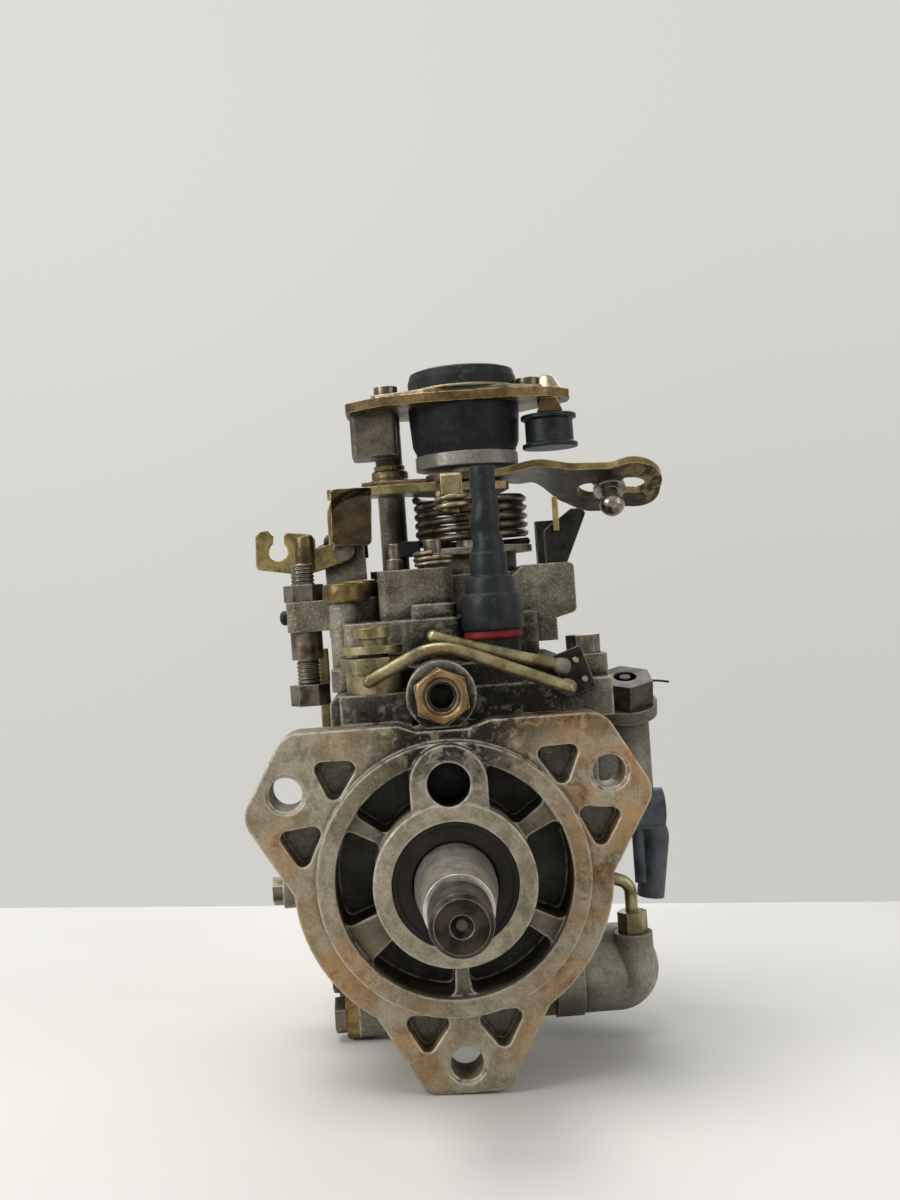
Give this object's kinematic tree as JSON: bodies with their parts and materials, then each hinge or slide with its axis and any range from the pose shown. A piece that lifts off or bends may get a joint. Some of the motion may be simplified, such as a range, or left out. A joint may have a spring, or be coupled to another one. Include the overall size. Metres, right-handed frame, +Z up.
{
  "type": "diesel injection pump",
  "caption": "Rotary distributor fuel pump with a three-lobed mounting flange, keyed cone shaft, governor cover, throttle lever and round throttle sensor.",
  "frame": {"origin": "drive shaft axis in the plane of the mounting flange's front face", "axes": "-Y out of the front along the drive shaft, +Y to the distributor head, +Z up to the throttle sensor, +X to the throttle lever's side"},
  "size_m": [0.1237, 0.202, 0.1943],
  "materials": {
    "cast_aluminium": "as-cast, oily, stained",
    "steel": "machined",
    "spring_steel": "drawn wire",
    "yellow_zinc": "yellow chromated zinc",
    "dark_steel": "blackened",
    "brass": "dull",
    "black_rubber": "soft",
    "black_plastic": "moulded",
    "blue_plastic": "moulded"
  },
  "bodies": {
    "pump": {"pump_housing": "cast_aluminium", "shaft_seal": "black_rubber", "feed_pump_ring": "steel", "feed_pump_plate": "steel", "governor_shaft": "steel", "plunger_springs": "spring_steel", "timer_spring": "spring_steel", "timer_cover_left": "yellow_zinc", "timer_screws": "yellow_zinc", "timer_cover_right": "cast_aluminium", "distributor_head": "steel", "housing_screws": "yellow_zinc", "delivery_valves": "steel", "gallery_plugs": "yellow_zinc", "shutoff_solenoid": "black_plastic", "governor_cover": "cast_aluminium", "throttle_spring": "spring_steel", "sensor_ring": "steel", "sensor_body": "black_plastic", "sensor_bracket": "yellow_zinc", "sensor_cap": "black_plastic", "sensor_screws": "yellow_zinc", "sensor_stand": "cast_aluminium", "vibration_bobbin": "black_rubber", "inlet_union": "brass", "fuel_pipes": "yellow_zinc", "pipe_clip": "dark_steel", "connector_body": "black_plastic", "connector_boot": "black_rubber", "adjusting_screws": "yellow_zinc", "side_valve_body": "cast_aluminium", "side_plug": "black_plastic", "spill_connector": "blue_plastic", "side_bracket": "dark_steel"},
    "drive_train": {"drive_shaft": "steel", "shaft_key": "steel", "feed_pump_rotor": "steel", "feed_pump_vanes": "steel", "drive_gear": "steel", "cross_coupling": "steel"},
    "cam": {"cam_plate": "steel", "plunger": "steel"},
    "bridge": {"spring_bridge": "steel"},
    "cage": {"governor_cage": "steel"},
    "weight_1": {"flyweight_1": "steel"},
    "weight_2": {"flyweight_2": "steel"},
    "weight_3": {"flyweight_3": "steel"},
    "weight_4": {"flyweight_4": "steel"},
    "sleeve": {"governor_sleeve": "steel"},
    "rocker": {"governor_lever": "steel"},
    "spool": {"control_spool": "steel"},
    "timer": {"timer_piston": "steel"},
    "rollers": {"roller_ring": "steel", "cam_rollers": "steel"},
    "throttle": {"throttle_shaft": "steel", "throttle_stop_plate": "yellow_zinc", "throttle_lever": "yellow_zinc", "ball_stud": "steel"},
    "cold_lever": {"cold_start_lever": "yellow_zinc"},
    "armature": {"shutoff_armature": "steel"}
  },
  "joints": [
    {"name": "drive_spin", "type": "hinge", "parent": "pump", "child": "drive_train", "pos_m": [0, 0, 0], "axis": [0, 1, 0], "continuous": true},
    {"name": "cam_lift", "type": "slide", "parent": "drive_train", "child": "cam", "axis": [0, 1, 0], "range_m": [0, 0.0022]},
    {"name": "bridge_lift", "type": "slide", "parent": "pump", "child": "bridge", "axis": [0, 1, 0], "range_m": [0, 0.0022], "deforming": ["plunger_springs"]},
    {"name": "governor_spin", "type": "hinge", "parent": "pump", "child": "cage", "pos_m": [0, 0.034, 0.034], "axis": [0, 1, 0], "continuous": true},
    {"name": "weight_1_swing", "type": "hinge", "parent": "cage", "child": "weight_1", "pos_m": [0.011, 0.0385, 0.034], "axis": [0, 0, -1], "range_deg": [0, 20.2]},
    {"name": "weight_2_swing", "type": "hinge", "parent": "cage", "child": "weight_2", "pos_m": [0, 0.0385, 0.023], "axis": [-1, 0, 0], "range_deg": [0, 20.2]},
    {"name": "weight_3_swing", "type": "hinge", "parent": "cage", "child": "weight_3", "pos_m": [-0.011, 0.0385, 0.034], "axis": [0, 0, 1], "range_deg": [0, 20.2]},
    {"name": "weight_4_swing", "type": "hinge", "parent": "cage", "child": "weight_4", "pos_m": [0, 0.0385, 0.045], "axis": [1, 0, 0], "range_deg": [0, 20.2]},
    {"name": "governor_travel", "type": "slide", "parent": "pump", "child": "sleeve", "axis": [0, 1, 0], "range_m": [0, 0.0022]},
    {"name": "governor_rock", "type": "hinge", "parent": "pump", "child": "rocker", "pos_m": [0, 0.084, 0.02], "axis": [-1, 0, 0], "range_deg": [0, 9.1]},
    {"name": "spool_travel", "type": "slide", "parent": "pump", "child": "spool", "axis": [0, -1, 0], "range_m": [0, 0.0017]},
    {"name": "timer_advance", "type": "slide", "parent": "pump", "child": "timer", "axis": [1, 0, 0], "range_m": [0, 0.008], "deforming": ["timer_spring"]},
    {"name": "roller_ring_turn", "type": "hinge", "parent": "pump", "child": "rollers", "pos_m": [0, 0.058, 0], "axis": [0, -1, 0], "range_deg": [0, 10.8]},
    {"name": "throttle_turn", "type": "hinge", "parent": "pump", "child": "throttle", "pos_m": [0.014, 0.072, 0.1], "axis": [0, 0, 1], "range_deg": [0, 45], "stiffness_Nm_per_rad": 0.15, "springref_deg": -20.05},
    {"name": "cold_start_turn", "type": "hinge", "parent": "pump", "child": "cold_lever", "pos_m": [-0.025, 0.066, 0.0855], "axis": [0, 1, 0], "range_deg": [0, 20]},
    {"name": "shutoff_travel", "type": "slide", "parent": "pump", "child": "armature", "axis": [0, 0, 1], "range_m": [0, 0.003], "stiffness_N_per_m": 100}
  ],
  "couplings": [
    {"joint": "bridge_lift", "follows": "cam_lift", "ratio": 1},
    {"joint": "governor_spin", "follows": "drive_spin", "ratio": -1.4286},
    {"joint": "weight_1_swing", "follows": "governor_travel", "rad_per_m": 159},
    {"joint": "weight_2_swing", "follows": "governor_travel", "rad_per_m": 159},
    {"joint": "weight_3_swing", "follows": "governor_travel", "rad_per_m": 159},
    {"joint": "weight_4_swing", "follows": "governor_travel", "rad_per_m": 159},
    {"joint": "governor_rock", "follows": "governor_travel", "rad_per_m": 71.4},
    {"joint": "spool_travel", "follows": "governor_travel", "ratio": 0.754},
    {"joint": "roller_ring_turn", "follows": "timer_advance", "rad_per_m": 23.392}
  ]
}
